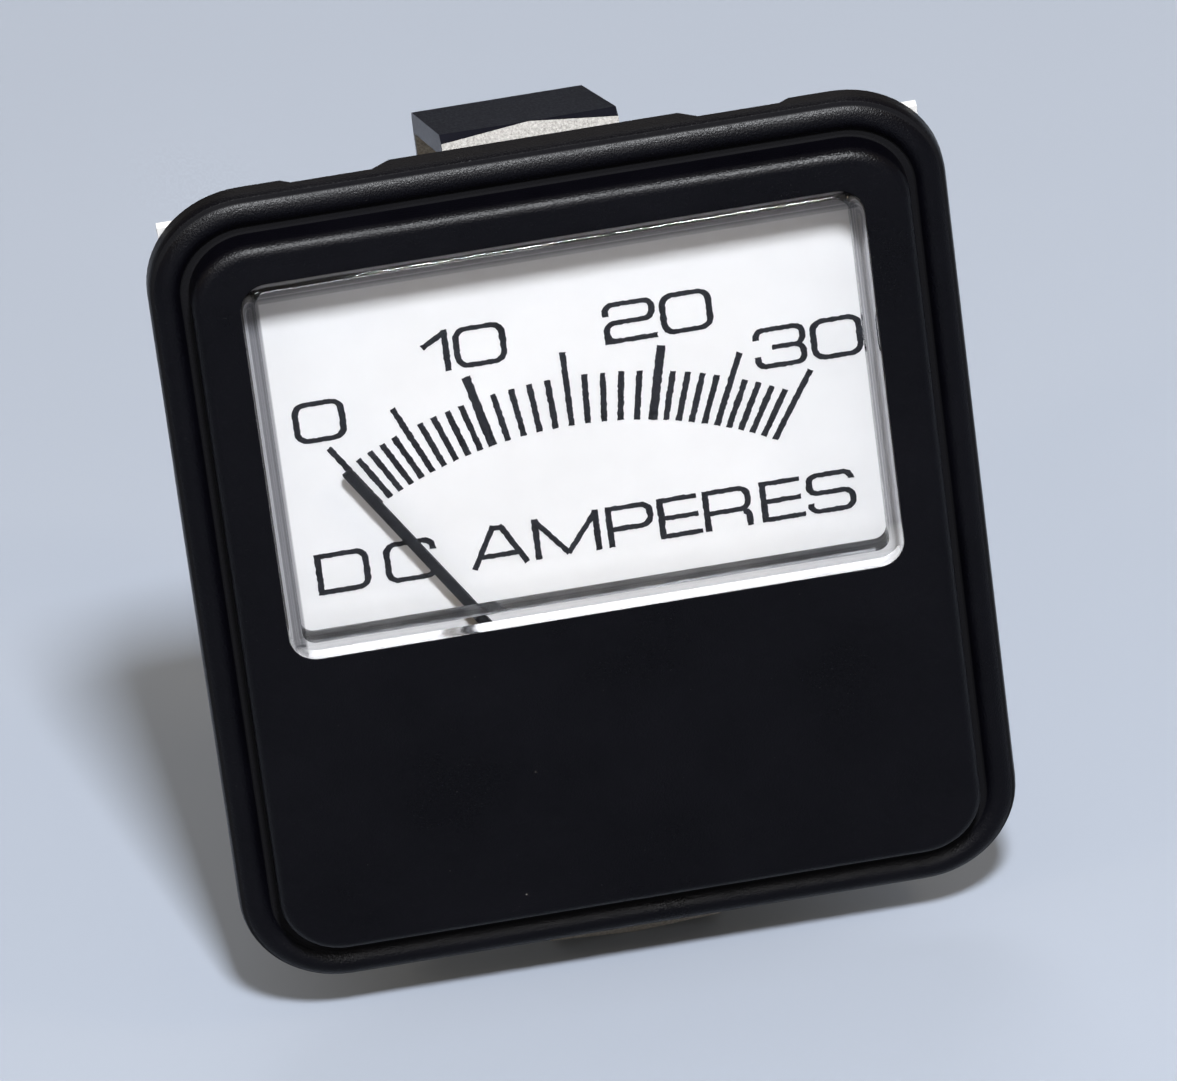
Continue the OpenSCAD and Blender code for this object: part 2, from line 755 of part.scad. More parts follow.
module movement_base() {
    color([0.78, 0.66, 0.36]) stand() difference() {
        slab(case_inside, base_front) intersection() {
            translate([0, base_y]) round_rect(base_size[0], base_size[1], 1);
            translate([0, case_y]) circle(barrel_in_r - base_play);
        }
        translate([0, pivot_y, 0]) {
            post(bearing_r + thread_play, case_inside - cut, base_front + cut);
            for (s = [-1, 1])
                translate([s * post_x, 0, 0])
                    post(tenon_r + thread_play, case_inside - cut, base_front + cut);
        }
        for (s = [-1, 1])
            translate([s * base_screw_x, base_screw_y, 0])
                post(small_screw_r + hole_play, case_inside - cut, base_front + cut);
    }
}

module movement_post(side) {
    color([0.8, 0.68, 0.4]) at_pivot() translate([side * post_x, 0, 0]) {
        post(post_r, base_front, bridge_back);
        post(tenon_r, case_inside, base_front);
        post(tenon_r, bridge_back, bridge_front);
    }
}

module movement_post_left() { movement_post(-1); }
module movement_post_right() { movement_post(1); }

module front_bridge() {
    color([0.78, 0.66, 0.36]) at_pivot() difference() {
        slab(bridge_back, bridge_front) round_rect(bridge_len, bridge_w, bridge_w * 0.4);
        post(bearing_r + thread_play, bridge_back - cut, bridge_front + cut);
        for (s = [-1, 1])
            translate([s * post_x, 0, 0]) post(tenon_r + thread_play, bridge_back - cut, bridge_front + cut);
    }
}

module base_screw(side) {
    color([0.75, 0.75, 0.72]) stand() translate([side * base_screw_x, base_screw_y])
        slotted_screw(base_front, base_t + case_back * 0.7);
}

module base_screw_left() { base_screw(-1); }
module base_screw_right() { base_screw(1); }

module front_bearing() {
    color([0.82, 0.7, 0.42]) at_pivot() difference() {
        post(bearing_r, front_hole_back, bearing_front);
        post(pivot_r + pivot_play, front_hole_back - cut, front_hole_back + pivot_len);
        slab(bearing_front - 0.2, bearing_front + cut) square([2 * bearing_r + cut, 0.3], center = true);
    }
}

module rear_bearing() {
    color([0.82, 0.7, 0.42]) at_pivot() difference() {
        post(bearing_r, case_inside, rear_bearing_front);
        post(pivot_r + pivot_play, rear_bearing_front - pivot_len, rear_bearing_front + cut);
    }
}

module control_magnet() {
    color([0.3, 0.3, 0.32]) stand() translate([0, magnet_y, base_front + magnet_size[2] / 2])
        cube(magnet_size, center = true);
}

// Pieces that turn with the pointer lie at the zero mark
module at_zero() {
    at_pivot() rotate(half_scale) children();
}

module pointer_staff() {
    color([0.7, 0.7, 0.72]) at_zero() {
        post(staff_r, staff_rear, staff_front);
        post(pivot_r, staff_front, front_hole_back + pivot_len - pivot_end_play);
        post(pivot_r, rear_bearing_front - pivot_len + pivot_end_play, staff_rear);
    }
}

module pointer() {
    color([0.03, 0.03, 0.035]) at_zero() difference() {
        union() {
            slab(pointer_back, pointer_front)
                polygon([[-pointer_root_w / 2, -tail_len], [pointer_root_w / 2, -tail_len],
                         [pointer_root_w / 2, 0], [pointer_tip_w / 2, pointer_len],
                         [-pointer_tip_w / 2, pointer_len], [-pointer_root_w / 2, 0]]);
            post(hub_r, hub_back, pointer_front);
        }
        post(staff_r, hub_back - cut, pointer_front + cut);
    }
}

module balance_weight() {
    color([0.82, 0.7, 0.42]) at_zero() translate([0, -weight_at, 0])
        post(weight_r, pointer_back - weight_t, pointer_back);
}

module iron_vane() {
    color([0.45, 0.45, 0.47]) at_zero() difference() {
        slab(vane_back, vane_back + vane_w) {
            square([2 * vane_reach, vane_t], center = true);
            circle(vane_hub_r);
        }
        post(staff_r, vane_back - cut, vane_back + vane_w + cut);
    }
}

// Hat-shaped strap: wide feet on the rear wall under the stud heads, crown in front of the vane
module conductor() {
    foot_end = terminal_x + head_r + 0.6;
    color([0.8, 0.45, 0.3]) stand() difference() {
        for (s = [0, 1]) mirror([s, 0, 0]) {
            translate([(riser_x + foot_end) / 2, terminal_y, 0])
                slab(conductor_back, conductor_back + conductor_t)
                    round_rect(foot_end - riser_x, 2 * head_r + 0.6, 1);
            translate([riser_x, terminal_y - conductor_w / 2, conductor_back])
                cube([conductor_t, conductor_w, conductor_front - conductor_back]);
            translate([-slip, terminal_y - conductor_w / 2, conductor_front - conductor_t])
                cube([riser_x + conductor_t + slip, conductor_w, conductor_t]);
        }
        for (s = [-1, 1])
            translate([s * terminal_x, terminal_y, 0])
                post(stud_r + hole_play, conductor_back - cut, conductor_back + conductor_t + cut);
    }
}

// ---- rear case ----

module rear_case() {
    color([0.04, 0.04, 0.042]) stand() difference() {
        union() {
            slab(0, flange_t) round_rect(flange_w, flange_h, flange_corner_r);
            translate([0, case_y, 0]) rotate_extrude() {
                translate([0, case_rear]) square([barrel_r - case_edge_r, barrel_depth]);
                translate([0, case_rear + case_edge_r]) square([barrel_r, barrel_depth - case_edge_r]);
                intersection() {
                    translate([barrel_r - case_edge_r, case_rear + case_edge_r]) circle(case_edge_r);
                    translate([0, case_rear]) square([barrel_r, barrel_depth]);
                }
            }
            for (p = stud_places)
                translate(p) post(boss_r, boss_rear, case_rear + slip);
        }
        translate([0, case_y, 0]) post(barrel_in_r, case_inside, flange_t + cut);
        for (p = stud_places)
            translate(p) post(stud_r + hole_play, boss_rear - cut, case_inside + cut);
        for (p = case_screw_at) translate(p) {
            post(case_screw_r + hole_play, -cut, flange_t + cut);
            cylinder(r1 = case_screw_head_r + hole_play, r2 = case_screw_r + hole_play,
                     h = case_screw_head_h);
        }
        for (s = [-1, 1]) {
            translate([s * dial_screw_at[0], dial_screw_at[1]])
                post(small_screw_r + thread_play, 0.1, flange_t + cut);
            translate([s * base_screw_x, base_screw_y])
                post(small_screw_r + thread_play, case_inside - case_back * 0.75, case_inside + cut);
        }
    }
}

stud_places = [[-terminal_x, terminal_y], [terminal_x, terminal_y], [0, case_y]];

// ---- terminals ----

module at_terminal(side) {
    stand() translate([side * terminal_x, terminal_y, 0]) children();
}

module washer(z) {
    difference() {
        post(washer_r, z - washer_t, z);
        post(stud_r + hole_play, z - washer_t - cut, z + cut);
    }
}

// Half section that rounds off the corners of a nut's two faces, its front face at z
module nut_blank(z) {
    drop = (nut_r - nut_flats / 2) * tan(30);
    rotate_extrude() polygon([[0, z - nut_t], [nut_flats / 2, z - nut_t], [nut_r, z - nut_t + drop],
                              [nut_r, z - drop], [nut_flats / 2, z], [0, z]]);
}

module nut(z) {
    difference() {
        intersection() {
            nut_blank(z);
            translate([0, 0, z - nut_t]) cylinder(r = nut_r, h = nut_t, $fn = 6);
        }
        post(stud_r + thread_play, z - nut_t - cut, z + cut);
    }
}

// Split ring with a narrow gap
module lock_washer(z) {
    difference() {
        post(stud_r + 1.4, z - lock_t, z);
        post(stud_r + hole_play, z - lock_t - cut, z + cut);
        slab(z - lock_t - cut, z + cut) translate([0, stud_r + 1]) square([0.5, 3], center = true);
    }
}

// A round head in front of head_back, the threaded part back to step, and the lead-in end
module stud(head_back, step, end) {
    post(head_r, head_back, head_back + head_t);
    post(stud_r, step, head_back);
    post(stud_end_r, end + stud_chamfer, step);
    translate([0, 0, end]) cylinder(r1 = stud_end_r - stud_chamfer, r2 = stud_end_r, h = stud_chamfer);
}

module terminal_stud_left() {
    color([0.8, 0.68, 0.4]) at_terminal(-1) stud(conductor_back + conductor_t, terminal_step, terminal_end);
}
module terminal_stud_right() {
    color([0.8, 0.68, 0.4]) at_terminal(1) stud(conductor_back + conductor_t, terminal_step, terminal_end);
}
module case_washer_left() { color([0.8, 0.68, 0.4]) at_terminal(-1) washer(case_washer_z); }
module case_washer_right() { color([0.8, 0.68, 0.4]) at_terminal(1) washer(case_washer_z); }
module case_nut_left() { color([0.82, 0.7, 0.42]) at_terminal(-1) nut(case_nut_z); }
module case_nut_right() { color([0.82, 0.7, 0.42]) at_terminal(1) nut(case_nut_z); }
module wire_washer_left() { color([0.8, 0.68, 0.4]) at_terminal(-1) washer(wire_washer_z); }
module wire_washer_right() { color([0.8, 0.68, 0.4]) at_terminal(1) washer(wire_washer_z); }
module lock_washer_left() { color([0.7, 0.7, 0.72]) at_terminal(-1) lock_washer(lock_washer_z); }
module lock_washer_right() { color([0.7, 0.7, 0.72]) at_terminal(1) lock_washer(lock_washer_z); }
module wire_nut_left() { color([0.82, 0.7, 0.42]) at_terminal(-1) nut(wire_nut_z); }
module wire_nut_right() { color([0.82, 0.7, 0.42]) at_terminal(1) nut(wire_nut_z); }

// ---- mounting bracket ----

module at_bracket() {
    stand() translate([0, case_y, 0]) children();
}

module bracket_stud() {
    color([0.75, 0.75, 0.76]) at_bracket() stud(case_inside, bracket_step, bracket_stud_end);
}
module bracket_stud_washer() { color([0.75, 0.75, 0.76]) at_bracket() washer(case_washer_z); }
module bracket_stud_nut() { color([0.75, 0.75, 0.76]) at_bracket() nut(case_nut_z); }
module bracket_lock_washer() { color([0.7, 0.7, 0.72]) at_bracket() lock_washer(bracket_lock_z); }
module bracket_nut() { color([0.75, 0.75, 0.76]) at_bracket() nut(bracket_nut_z); }

// Upper half of the strap's side view: x up, y to the viewer
module strap_half() {
    translate([-slip, -strap_depth]) square([bend_y + 2 * slip, strap_t]);
    translate([bend_y, -strap_depth + bend_out]) {
        intersection() {
            difference() {
                circle(bend_out);
                circle(bend_r);
            }
            polygon([[0, 0], [0, -2 * bend_out], [2 * bend_out, -2 * bend_out],
                     [2 * bend_out * cos(strap_angle), -2 * bend_out * sin(strap_angle)]]);
        }
        rotate(-strap_angle) translate([bend_r, -slip]) square([strap_t, leg_len + slip]);
    }
}

// Block that dresses one half of a leg's front end: its face runs from the middle of the outer
// edge down to the side of the strap
module corner_dresser() {
    h = strap_w / 2;
    turn = atan2(dress_drop, dress_len);
    tilt = atan2(dress_drop * dress_len, h * norm([dress_drop, dress_len]));
    translate([bend_y, -strap_depth + bend_out]) rotate(-strap_angle) translate([bend_out, leg_len])
        rotate(turn) rotate([0, -tilt, 0]) translate([0, -strap_w, -strap_w]) cube(strap_w * 2);
}

module mounting_bracket() {
    color([0.75, 0.76, 0.78]) at_bracket() difference() {
        for (s = [0, 1]) mirror([0, s, 0])
            rotate([90, 0, 90]) difference() {
                translate([0, 0, -strap_w / 2]) linear_extrude(strap_w) strap_half();
                corner_dresser();
                mirror([0, 0, 1]) corner_dresser();
            }
        post(stud_r + hole_play, -strap_depth - cut, -strap_depth + strap_t + cut);
    }
}

// ---- one line for each node ----

bezel();
window_lens();
dial_plate();
scale_marks();
scale_numbers();
unit_legend();
dial_screw_left();
dial_screw_right();
stop_pin_zero();
stop_pin_full();
case_screw_1();
case_screw_2();
case_screw_3();
case_screw_4();
movement_base();
movement_post_left();
movement_post_right();
front_bridge();
base_screw_left();
base_screw_right();
front_bearing();
rear_bearing();
control_magnet();
pointer_staff();
pointer();
balance_weight();
iron_vane();
conductor();
rear_case();
terminal_stud_left();
terminal_stud_right();
case_washer_left();
case_washer_right();
case_nut_left();
case_nut_right();
wire_washer_left();
wire_washer_right();
lock_washer_left();
lock_washer_right();
wire_nut_left();
wire_nut_right();
bracket_stud();
bracket_stud_washer();
bracket_stud_nut();
mounting_bracket();
bracket_lock_washer();
bracket_nut();
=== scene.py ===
"""Looks of the analog panel meter: finishes, printed ink, stud threads, floor, light and camera."""

import json
import math

import bmesh
import bpy
from mathutils import Matrix, Vector, noise


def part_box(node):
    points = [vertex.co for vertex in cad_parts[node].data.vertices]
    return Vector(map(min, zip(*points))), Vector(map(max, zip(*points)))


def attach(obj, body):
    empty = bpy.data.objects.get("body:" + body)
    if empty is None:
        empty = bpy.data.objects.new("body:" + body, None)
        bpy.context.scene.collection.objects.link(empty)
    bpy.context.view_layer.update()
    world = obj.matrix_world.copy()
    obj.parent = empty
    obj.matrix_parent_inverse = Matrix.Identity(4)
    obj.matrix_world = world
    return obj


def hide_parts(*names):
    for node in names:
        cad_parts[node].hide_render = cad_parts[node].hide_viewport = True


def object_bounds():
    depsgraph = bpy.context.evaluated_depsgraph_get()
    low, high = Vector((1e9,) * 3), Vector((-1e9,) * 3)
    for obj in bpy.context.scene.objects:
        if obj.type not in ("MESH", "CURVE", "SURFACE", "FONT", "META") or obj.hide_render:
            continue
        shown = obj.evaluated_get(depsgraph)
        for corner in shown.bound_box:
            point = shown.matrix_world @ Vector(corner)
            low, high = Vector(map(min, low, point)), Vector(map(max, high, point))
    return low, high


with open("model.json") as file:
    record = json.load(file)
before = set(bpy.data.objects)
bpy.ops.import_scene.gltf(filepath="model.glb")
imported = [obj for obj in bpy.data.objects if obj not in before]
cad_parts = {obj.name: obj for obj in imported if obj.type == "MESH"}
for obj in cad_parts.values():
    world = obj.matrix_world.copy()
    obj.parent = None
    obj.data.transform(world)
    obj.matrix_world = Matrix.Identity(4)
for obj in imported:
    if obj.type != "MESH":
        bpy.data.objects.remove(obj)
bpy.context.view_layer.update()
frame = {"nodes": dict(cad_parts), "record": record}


MM = 0.001
NODES = frame["nodes"]
METER = "meter"


def add_object(name, data):
    made = bpy.data.objects.new(name, data)
    bpy.context.scene.collection.objects.link(made)
    return made


# ---- camera: aimed at the middle of the raised face, from above and a little to the left ----

VIEW_AZIMUTH = math.radians(3.24)      # the camera stands this far to the left of the face's normal
VIEW_ELEVATION = math.radians(32.07)
VIEW_ROLL = math.radians(7.58)
VIEW_DISTANCE = 1.0193
VIEW_AIM = Vector((-0.17, -7.3, 1.83)) * MM
LENS = 437.0
SENSOR = 36.0


def make_camera():
    forward = Vector((
        math.sin(VIEW_AZIMUTH) * math.cos(VIEW_ELEVATION),
        math.cos(VIEW_AZIMUTH) * math.cos(VIEW_ELEVATION),
        -math.sin(VIEW_ELEVATION),
    ))
    level = forward.cross(Vector((0, 0, 1))).normalized()
    upright = level.cross(forward)
    right = level * math.cos(VIEW_ROLL) - upright * math.sin(VIEW_ROLL)
    up = right.cross(forward)
    turn = Matrix((right, up, -forward)).transposed().to_4x4()
    data = bpy.data.cameras.new("camera")
    data.lens = LENS
    data.sensor_width = SENSOR
    data.clip_start = 0.01
    data.clip_end = 50.0
    camera = add_object("camera", data)
    camera.matrix_world = Matrix.Translation(VIEW_AIM - forward * VIEW_DISTANCE) @ turn
    bpy.context.scene.camera = camera


# ---- node building ----

class Finish:
    """A material being built: one Principled shader and the nodes that feed it. Lengths are in mm."""

    def __init__(self, name, **shader):
        self.material = bpy.data.materials.new(name)
        self.material.use_nodes = True
        self.tree = self.material.node_tree
        self.shader = next(n for n in self.tree.nodes if n.type == "BSDF_PRINCIPLED")
        self.output = next(n for n in self.tree.nodes if n.type == "OUTPUT_MATERIAL")
        for socket, value in shader.items():
            self.shader.inputs[socket.replace("_", " ")].default_value = value
        coordinates = self.tree.nodes.new("ShaderNodeTexCoord")
        self.millimetres = self.mapped(coordinates.outputs["Object"], scale=(1 / MM,) * 3)
        self.bump = None

    def node(self, kind, **settings):
        made = self.tree.nodes.new("ShaderNode" + kind)
        for key, value in settings.items():
            setattr(made, key, value)
        return made

    def feed(self, socket, value):
        if isinstance(value, bpy.types.NodeSocket):
            self.tree.links.new(value, socket)
        else:
            socket.default_value = value

    def mapped(self, vector, scale=(1, 1, 1), shift=0.0):
        mapping = self.node("Mapping")
        self.feed(mapping.inputs["Vector"], vector)
        mapping.inputs["Scale"].default_value = scale
        mapping.inputs["Location"].default_value = (shift, shift, shift)
        return mapping.outputs["Vector"]

    def place(self):
        """The X, Y and Z sockets of the point being shaded."""
        made = self.node("SeparateXYZ")
        self.feed(made.inputs["Vector"], self.millimetres)
        return made.outputs

    def noise(self, size, detail=3.0, rough=0.55, stretch=(1, 1, 1), shift=0.0):
        """Noise whose features are about size mm across."""
        made = self.node("TexNoise")
        self.feed(made.inputs["Vector"], self.mapped(self.millimetres, stretch, shift))
        made.inputs["Scale"].default_value = 1.0 / size
        made.inputs["Detail"].default_value = detail
        made.inputs["Roughness"].default_value = rough
        return made.outputs["Fac"]

    def stripes(self, value, per_mm):
        """Noise that changes only with value, with about per_mm stripes to the millimetre."""
        made = self.node("TexNoise", noise_dimensions="1D")
        self.feed(made.inputs["W"], value)
        made.inputs["Scale"].default_value = per_mm
        made.inputs["Detail"].default_value = 3.0
        return made.outputs["Fac"]

    def specks(self, spacing, radius, shift, where):
        """Sparse round specks, one in each cell of spacing mm. Their strength is that of where."""
        made = self.node("TexVoronoi", feature="F1")
        self.feed(made.inputs["Vector"], self.mapped(self.millimetres, shift=shift))
        made.inputs["Scale"].default_value = 1.0 / spacing
        inside = self.ramp(made.outputs["Distance"], radius / spacing * 0.6, radius / spacing, 1.0, 0.0)
        return self.math("MULTIPLY", inside, where)

    def ramp(self, value, low, high, at_low=0.0, at_high=1.0):
        made = self.node("MapRange", clamp=True)
        self.feed(made.inputs["Value"], value)
        for key, number in (("From Min", low), ("From Max", high), ("To Min", at_low), ("To Max", at_high)):
            made.inputs[key].default_value = number
        return made.outputs["Result"]

    def math(self, operation, a, b=0.0):
        made = self.node("Math", operation=operation)
        self.feed(made.inputs[0], a)
        self.feed(made.inputs[1], b)
        return made.outputs[0]

    def distance(self, a, b):
        return self.math("ABSOLUTE", self.math("SUBTRACT", a, b))

    def mix(self, share, a, b):
        """From colour a to colour b as share goes from 0 to 1."""
        made = self.node("Mix", data_type="RGBA")
        self.feed(made.inputs["Factor"], share)
        self.feed(made.inputs["A"], a if isinstance(a, bpy.types.NodeSocket) else (*a, 1.0))
        self.feed(made.inputs["B"], b if isinstance(b, bpy.types.NodeSocket) else (*b, 1.0))
        return made.outputs["Result"]

    def blend(self, share, a, b):
        """From number a to number b as share goes from 0 to 1."""
        made = self.node("Mix", data_type="FLOAT")
        self.feed(made.inputs["Factor"], share)
        self.feed(made.inputs["A"], a)
        self.feed(made.inputs["B"], b)
        return made.outputs["Result"]

    def colour(self, value):
        self.feed(self.shader.inputs["Base Color"], value)

    def rough(self, value):
        self.feed(self.shader.inputs["Roughness"], value)

    def relief(self, height, depth):
        """Adds a bump of that depth in mm for a height of 0 to 1."""
        made = self.node("Bump")
        made.inputs["Distance"].default_value = depth * MM
        self.feed(made.inputs["Height"], height)
        if self.bump:
            self.feed(made.inputs["Normal"], self.bump)
        self.bump = made.outputs["Normal"]
        self.feed(self.shader.inputs["Normal"], self.bump)

    def facing(self, direction, low=0.8, high=0.95, both_ways=True):
        """0 to 1 as the surface turns to a direction of the row frame, or to its opposite as well."""
        geometry = self.node("NewGeometry")
        dot = self.node("VectorMath", operation="DOT_PRODUCT")
        self.feed(dot.inputs[0], geometry.outputs["Normal"])
        dot.inputs[1].default_value = direction
        turned = dot.outputs["Value"]
        return self.ramp(self.math("ABSOLUTE", turned) if both_ways else turned, low, high)


# ---- finishes ----

ALONG_X, ALONG_Y, FORWARD = (1, 0, 0), (0, 1, 0), (0, -1, 0)

# in mm
GROOVE_DEPTH = 2.45         # from the raised face down to the foot of the groove around it
LIP_OUT = 0.8               # how far the window's rear lip reaches past the wall
BORDER = 1.15               # width of the painted shade: a striped grey border along the window's top and left edges
END_FADE = (-2.4, -0.9)     # where the painted shade on the walls and the lip fades at the window's top and bottom, counted outward from the wall
                            # counted outward from the wall


def moulded_black(name, base, gloss, dust, grain=0.13, dull_at=None):
    """Black moulded plastic: fine grain, faint handling marks in the gloss, and a little dust.

    dull_at is the Y, in mm, of a corner that is too tight to catch the light.
    """
    made = Finish(name, Specular_IOR_Level=0.08)
    smudge = made.noise(9.0, detail=5.0, rough=0.6)
    fine = made.noise(grain, detail=2.0)
    shade = made.mix(made.ramp(smudge, 0.35, 0.7), base, [c * 1.4 for c in base])
    powder = made.specks(1.35, 0.05, 11.0, where=made.ramp(made.noise(6.0, shift=2.0), 0.42, 0.7))
    shade = made.mix(made.math("MULTIPLY", powder, dust * 0.12), shade, (0.55, 0.55, 0.58))
    flecks = made.specks(4.6, 0.11, 3.0, where=made.ramp(made.noise(13.0, shift=7.0), 0.5, 0.62))
    made.colour(made.mix(made.math("MULTIPLY", flecks, dust), shade, (0.62, 0.6, 0.56)))
    uneven = made.math("ADD", made.math("MULTIPLY", smudge, 0.7), made.math("MULTIPLY", fine, 0.3))
    rough = made.ramp(uneven, 0.35, 0.65, gloss - 0.11, gloss + 0.02)
    if dull_at is not None:
        away = made.distance(made.place()["Y"], dull_at)
        rough = made.math("ADD", rough, made.ramp(away, 0.1, 0.2, 0.6, 0.0))
    made.rough(rough)
    made.relief(fine, 0.045)
    made.relief(made.noise(1.4, detail=2.0, shift=5.0), 0.01)
    return made.material


def clear_plastic():
    """Clear moulded plastic: a polished front and drawn walls, with painted shade in three places: a striped
    grey tint on the walls, a darker striped tint on the rear lip, and a striped grey border along the top
    and left.

    It lets shadow and diffuse rays straight through, so that the lamps light the dial once.
    """
    low, high = (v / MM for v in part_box("window_lens"))
    middle, half = (low + high) / 2, (high - low) / 2
    made = Finish("window_clear", IOR=1.26, Transmission_Weight=1.0)
    place = made.place()
    flat = made.facing(ALONG_Y)
    past_sides = made.math("SUBTRACT", made.distance(place["X"], middle.x), half.x - LIP_OUT)
    past_ends = made.math("SUBTRACT", made.distance(place["Z"], middle.z), half.z - LIP_OUT)
    around = made.ramp(made.stripes(made.math("MAXIMUM", past_sides, past_ends), 3.2), 0.38, 0.62)

    # painted shade: the walls get a dark striped grey tint that stands in for light lost in them, weaker
    # near the top and bottom
    wall = made.math("SUBTRACT", 1.0, made.facing(ALONG_Y, 0.3, 0.75))
    wall_shade = made.math("MULTIPLY", wall, made.ramp(past_ends, *END_FADE, 1.0, 0.55))
    layers = made.stripes(place["Y"], 2.6)
    grey = made.mix(made.ramp(layers, 0.4, 0.6), (0.05, 0.05, 0.055), (0.55, 0.55, 0.57))
    shade = made.mix(wall_shade, (0.98, 0.985, 1.0), grey)

    # painted shade: a striped grey border on the flat faces along the top and left edges only, standing in
    # for the shade there
    past_top = made.math("SUBTRACT", place["Z"], high.z - LIP_OUT)
    past_left = made.math("SUBTRACT", low.x + LIP_OUT, place["X"])
    near = made.math("MAXIMUM", past_top, past_left)
    border = made.math("MULTIPLY", flat, made.ramp(near, -BORDER - 0.12, -BORDER))
    border_shade = made.mix(around, (0.1, 0.1, 0.11), (0.42, 0.42, 0.44))
    shade = made.mix(border, shade, border_shade)

    # painted shade: the lip's rear face gets a dark striped tint for the shade on the dial under the lip and
    # the bezel, weaker near the top and bottom
    rear = made.math("MULTIPLY", flat, made.ramp(place["Y"], high.y - 0.5, high.y - 0.2))
    lip = made.math("MULTIPLY", rear, made.ramp(past_ends, *END_FADE, 1.0, 0.3))
    lip_shade = made.mix(around, (0.03, 0.03, 0.04), (0.42, 0.42, 0.45))
    made.colour(made.mix(lip, shade, lip_shade))

    made.rough(made.ramp(wall, 0.0, 1.0, 0.015, 0.16))
    made.relief(made.noise(7.0, detail=1.0), 0.0016)
    drawn = made.noise(0.5, detail=3.0, stretch=(0.03, 1.0, 0.03), shift=6.0)
    made.relief(made.math("MULTIPLY", drawn, wall), 0.02)

    clear = made.node("BsdfTransparent")
    clear.inputs["Color"].default_value = (0.985, 0.985, 0.99, 1.0)
    rays = made.node("LightPath")
    pick = made.node("MixShader")
    through = made.math("MAXIMUM", rays.outputs["Is Shadow Ray"], rays.outputs["Is Diffuse Ray"])
    made.feed(pick.inputs["Fac"], through)
    made.feed(pick.inputs[1], made.shader.outputs["BSDF"])
    made.feed(pick.inputs[2], clear.outputs["BSDF"])
    made.feed(made.output.inputs["Surface"], pick.outputs["Shader"])
    return made.material


def white_enamel():
    """Satin white enamel on sheet metal, a little uneven, with a few faint marks."""
    made = Finish("dial_white", Specular_IOR_Level=0.35)
    cloud = made.noise(8.0, detail=4.0)
    shade = made.mix(made.ramp(cloud, 0.3, 0.7), (0.85, 0.85, 0.85), (0.91, 0.91, 0.91))
    marks = made.specks(6.3, 0.12, 4.0, where=made.ramp(made.noise(11.0, shift=9.0), 0.45, 0.6))
    made.colour(made.mix(made.math("MULTIPLY", marks, 0.4), shade, (0.6, 0.58, 0.55)))
    made.rough(made.ramp(made.noise(3.0, shift=3.0), 0.3, 0.7, 0.3, 0.42))
    made.relief(made.noise(0.5, detail=2.0), 0.006)
    return made.material


def printed_ink():
    made = Finish("ink_black", Specular_IOR_Level=0.03)
    drift = made.ramp(made.noise(0.6), 0.35, 0.7)
    made.colour(made.mix(drift, (0.004, 0.004, 0.006), (0.011, 0.011, 0.014)))
    made.rough(made.ramp(made.noise(0.9, shift=2.0), 0.3, 0.7, 0.45, 0.65))
    made.relief(made.noise(0.15, detail=2.0), 0.004)
    return made.material


def matt_paint():
    made = Finish("pointer_black", Specular_IOR_Level=0.03)
    drift = made.ramp(made.noise(1.2), 0.35, 0.7)
    made.colour(made.mix(drift, (0.004, 0.004, 0.005), (0.009, 0.009, 0.01)))
    made.rough(made.ramp(made.noise(0.8, shift=2.0), 0.3, 0.7, 0.42, 0.6))
    made.relief(made.noise(0.12, detail=2.0), 0.004)
    return made.material


def metal(name, low, high, gloss, spread=0.1, lines=(1, 1, 1), line_size=0.3, depth=0.004, stain=None):
    """Bare or plated metal: colour drifting from low to high, fine tool lines, and an optional stain."""
    made = Finish(name, Metallic=1.0)
    drift = made.noise(3.5, detail=4.0)
    shade = made.mix(made.ramp(drift, 0.3, 0.7), low, high)
    line = made.noise(line_size, detail=3.0, stretch=lines, shift=5.0)
    if stain:
        share = made.ramp(made.noise(2.2, detail=6.0, rough=0.65, shift=8.0), 0.5, 0.75, 0.0, 0.75)
        shade = made.mix(share, shade, stain)
    made.colour(shade)
    mixed = made.math("ADD", made.math("MULTIPLY", drift, 0.5), made.math("MULTIPLY", line, 0.5))
    made.rough(made.ramp(mixed, 0.35, 0.65, gloss - spread / 2, gloss + spread / 2))
    made.relief(line, depth)
    return made.material


